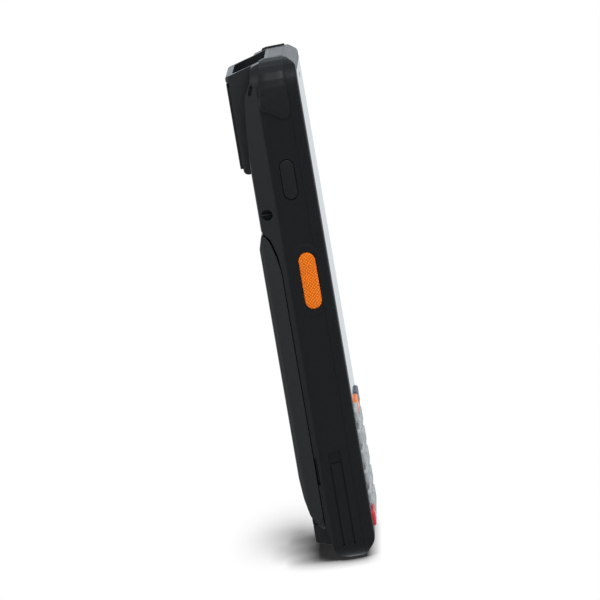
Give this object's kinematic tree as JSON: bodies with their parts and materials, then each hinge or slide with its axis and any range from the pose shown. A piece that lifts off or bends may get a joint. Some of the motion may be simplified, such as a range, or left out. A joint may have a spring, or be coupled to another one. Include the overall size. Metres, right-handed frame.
{
  "type": "portable barcode data terminal",
  "caption": "Rugged black hand-held barcode terminal with a touch screen above a keypad, a scan head at the top of its back, orange side triggers and a removable battery.",
  "frame": {"origin": "centre of the flat base, in the middle of the terminal's width and depth", "axes": "+X across the terminal, screen and keypad face -Y, +Z points to the top end with the scan window"},
  "size_m": [0.0722, 0.0248, 0.1668],
  "materials": {
    "case_plastic": "fine matt texture",
    "head_plastic": "fine matt texture",
    "cover_plastic": "satin",
    "battery_plastic": "fine matt texture",
    "button_plastic": "satin",
    "bumper_rubber": "soft matt",
    "seal_rubber": "matt",
    "midframe_metal": "cast, matt",
    "cover_glass": "polished",
    "display_panel": "smooth",
    "mesh_metal": "fine mesh",
    "black_parts": "matt",
    "circuit_board": "solder mask",
    "steel": "satin",
    "dark_steel": "black oxide",
    "gold": "plated",
    "brass": "turned",
    "window_glass": "dark red tint",
    "camera_glass": "polished",
    "orange_plastic": "knurled",
    "orange_key": "smooth",
    "key_plastic": "smooth",
    "navy_key": "smooth",
    "red_key": "smooth",
    "cell_metal": "foil"
  },
  "bodies": {
    "case": {"rear_housing": "case_plastic", "front_housing": "case_plastic", "corner_bumpers": "bumper_rubber", "housing_seal": "seal_rubber", "midframe": "midframe_metal", "touch_glass": "cover_glass", "display_panel": "display_panel", "earpiece_mesh": "mesh_metal", "earpiece_speaker": "black_parts", "keypad_mat": "seal_rubber", "keypad_board": "circuit_board", "key_domes": "steel", "main_board": "circuit_board", "shield_cans": "mesh_metal", "side_switches": "circuit_board", "usb_socket": "steel", "dock_contacts": "gold", "bay_contacts": "gold", "loudspeaker": "black_parts", "vibration_motor": "steel", "scan_head_housing": "head_plastic", "scan_head_cover": "cover_plastic", "scan_window": "window_glass", "scan_engine": "black_parts", "engine_bracket": "midframe_metal", "rear_camera": "black_parts", "camera_window": "camera_glass", "strap_bars": "dark_steel", "lock_block": "head_plastic", "housing_screws": "dark_steel", "cover_screws": "dark_steel", "threaded_inserts": "brass"},
    "left_trigger": {"left_trigger": "orange_plastic"},
    "right_trigger": {"right_trigger": "orange_plastic"},
    "left_button": {"left_button": "button_plastic"},
    "right_button": {"right_button": "button_plastic"},
    "battery": {"battery_case": "battery_plastic", "battery_cell": "cell_metal", "battery_terminals": "gold"},
    "lock": {"lock_slider": "orange_plastic"},
    "key_menu": {"key_menu": "key_plastic"},
    "key_scan": {"key_scan": "orange_key"},
    "key_back": {"key_back": "navy_key"},
    "key_1": {"key_1": "key_plastic"},
    "key_2": {"key_2": "key_plastic"},
    "key_3": {"key_3": "key_plastic"},
    "key_4": {"key_4": "key_plastic"},
    "key_5": {"key_5": "key_plastic"},
    "key_6": {"key_6": "key_plastic"},
    "key_7": {"key_7": "key_plastic"},
    "key_8": {"key_8": "key_plastic"},
    "key_9": {"key_9": "key_plastic"},
    "key_star": {"key_star": "key_plastic"},
    "key_0": {"key_0": "key_plastic"},
    "key_hash": {"key_hash": "key_plastic"},
    "key_power": {"key_power": "red_key"},
    "key_function": {"key_function": "key_plastic"},
    "key_enter": {"key_enter": "key_plastic"}
  },
  "joints": [
    {"name": "left_trigger_press", "type": "slide", "parent": "case", "child": "left_trigger", "axis": [1, 0, 0], "range_m": [0, 0.0005], "stiffness_N_per_m": 3000},
    {"name": "right_trigger_press", "type": "slide", "parent": "case", "child": "right_trigger", "axis": [-1, 0, 0], "range_m": [0, 0.0005], "stiffness_N_per_m": 3000},
    {"name": "left_button_press", "type": "slide", "parent": "case", "child": "left_button", "axis": [1, 0, 0], "range_m": [0, 0.00035], "stiffness_N_per_m": 4000},
    {"name": "right_button_press", "type": "slide", "parent": "case", "child": "right_button", "axis": [-1, 0, 0], "range_m": [0, 0.00035], "stiffness_N_per_m": 4000},
    {"name": "battery_release", "type": "slide", "parent": "case", "child": "battery", "axis": [0, 1, 0], "range_m": [0, 0.014]},
    {"name": "lock_slide", "type": "slide", "parent": "case", "child": "lock", "axis": [0, 0, 1], "range_m": [0, 0.003]},
    {"name": "key_menu_press", "type": "slide", "parent": "case", "child": "key_menu", "axis": [0, 1, 0], "range_m": [0, 0.00035], "stiffness_N_per_m": 3500},
    {"name": "key_scan_press", "type": "slide", "parent": "case", "child": "key_scan", "axis": [0, 1, 0], "range_m": [0, 0.00035], "stiffness_N_per_m": 3500},
    {"name": "key_back_press", "type": "slide", "parent": "case", "child": "key_back", "axis": [0, 1, 0], "range_m": [0, 0.00035], "stiffness_N_per_m": 3500},
    {"name": "key_1_press", "type": "slide", "parent": "case", "child": "key_1", "axis": [0, 1, 0], "range_m": [0, 0.00035], "stiffness_N_per_m": 3500},
    {"name": "key_2_press", "type": "slide", "parent": "case", "child": "key_2", "axis": [0, 1, 0], "range_m": [0, 0.00035], "stiffness_N_per_m": 3500},
    {"name": "key_3_press", "type": "slide", "parent": "case", "child": "key_3", "axis": [0, 1, 0], "range_m": [0, 0.00035], "stiffness_N_per_m": 3500},
    {"name": "key_4_press", "type": "slide", "parent": "case", "child": "key_4", "axis": [0, 1, 0], "range_m": [0, 0.00035], "stiffness_N_per_m": 3500},
    {"name": "key_5_press", "type": "slide", "parent": "case", "child": "key_5", "axis": [0, 1, 0], "range_m": [0, 0.00035], "stiffness_N_per_m": 3500},
    {"name": "key_6_press", "type": "slide", "parent": "case", "child": "key_6", "axis": [0, 1, 0], "range_m": [0, 0.00035], "stiffness_N_per_m": 3500},
    {"name": "key_7_press", "type": "slide", "parent": "case", "child": "key_7", "axis": [0, 1, 0], "range_m": [0, 0.00035], "stiffness_N_per_m": 3500},
    {"name": "key_8_press", "type": "slide", "parent": "case", "child": "key_8", "axis": [0, 1, 0], "range_m": [0, 0.00035], "stiffness_N_per_m": 3500},
    {"name": "key_9_press", "type": "slide", "parent": "case", "child": "key_9", "axis": [0, 1, 0], "range_m": [0, 0.00035], "stiffness_N_per_m": 3500},
    {"name": "key_star_press", "type": "slide", "parent": "case", "child": "key_star", "axis": [0, 1, 0], "range_m": [0, 0.00035], "stiffness_N_per_m": 3500},
    {"name": "key_0_press", "type": "slide", "parent": "case", "child": "key_0", "axis": [0, 1, 0], "range_m": [0, 0.00035], "stiffness_N_per_m": 3500},
    {"name": "key_hash_press", "type": "slide", "parent": "case", "child": "key_hash", "axis": [0, 1, 0], "range_m": [0, 0.00035], "stiffness_N_per_m": 3500},
    {"name": "key_power_press", "type": "slide", "parent": "case", "child": "key_power", "axis": [0, 1, 0], "range_m": [0, 0.00035], "stiffness_N_per_m": 3500},
    {"name": "key_function_press", "type": "slide", "parent": "case", "child": "key_function", "axis": [0, 1, 0], "range_m": [0, 0.00035], "stiffness_N_per_m": 3500},
    {"name": "key_enter_press", "type": "slide", "parent": "case", "child": "key_enter", "axis": [0, 1, 0], "range_m": [0, 0.00035], "stiffness_N_per_m": 3500}
  ]
}
